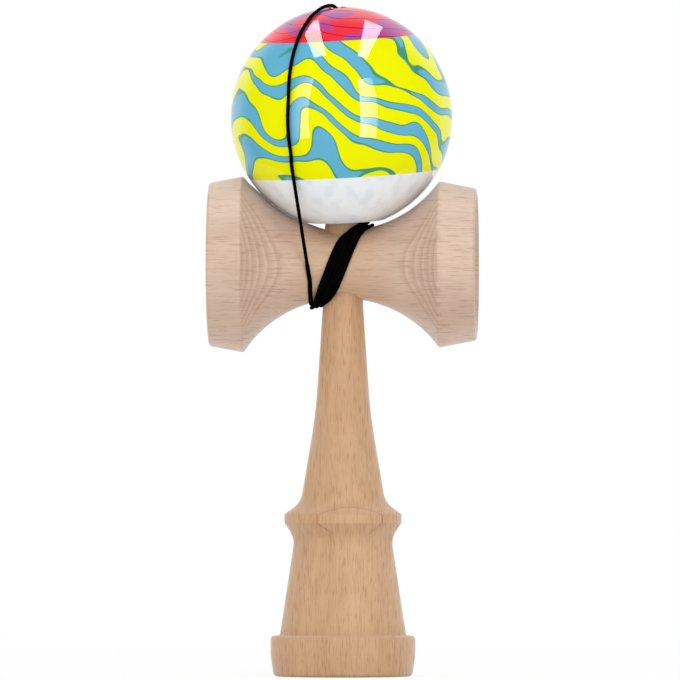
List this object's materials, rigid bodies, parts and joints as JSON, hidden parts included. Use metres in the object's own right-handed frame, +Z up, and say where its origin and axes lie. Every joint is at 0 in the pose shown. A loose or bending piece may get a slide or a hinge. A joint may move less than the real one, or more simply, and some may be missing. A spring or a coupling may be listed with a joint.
{
  "type": "cup and ball toy",
  "caption": "Turned wooden cup and ball toy: a drilled lacquered ball sits on the spike of a handle with a two-cup crosspiece, its cord wound round the crosspiece.",
  "frame": {"origin": "middle of the base cup's rim, on the surface that the toy stands on", "axes": "+Z up along the handle, +X towards the small cup, -Y towards the viewer"},
  "size_m": [0.0724, 0.06, 0.1819],
  "materials": {
    "handle_wood": "sanded, bare",
    "crosspiece_wood": "sanded, bare",
    "ball_lacquer": "high-gloss lacquer",
    "bead_wood": "turned, bare",
    "cord": "braided, matte"
  },
  "bodies": {
    "handle": {"handle": "handle_wood", "anchor_knot": "cord"},
    "crosspiece": {"crosspiece": "crosspiece_wood", "cord_winding": "cord", "anchor_cord": "cord"},
    "cord_top": {"cord_run": "cord", "ball_cord": "cord", "bead": "bead_wood", "bead_knot": "cord"},
    "ball": {"ball": "ball_lacquer"}
  },
  "joints": [
    {"name": "crosspiece_pull", "type": "slide", "parent": "handle", "child": "crosspiece", "axis": [0, 0, 1], "range_m": [0, 0.058], "deforming": ["anchor_cord"]},
    {"name": "ball_lift", "type": "slide", "parent": "crosspiece", "child": "cord_top", "axis": [0, 0, 1], "range_m": [0, 0.045], "deforming": ["cord_run"]},
    {"name": "ball_spin", "type": "hinge", "parent": "cord_top", "child": "ball", "pos_m": [-0.0004, 0, 0.15115], "axis": [-0.0417, -0.0872, 0.9953], "continuous": true}
  ]
}
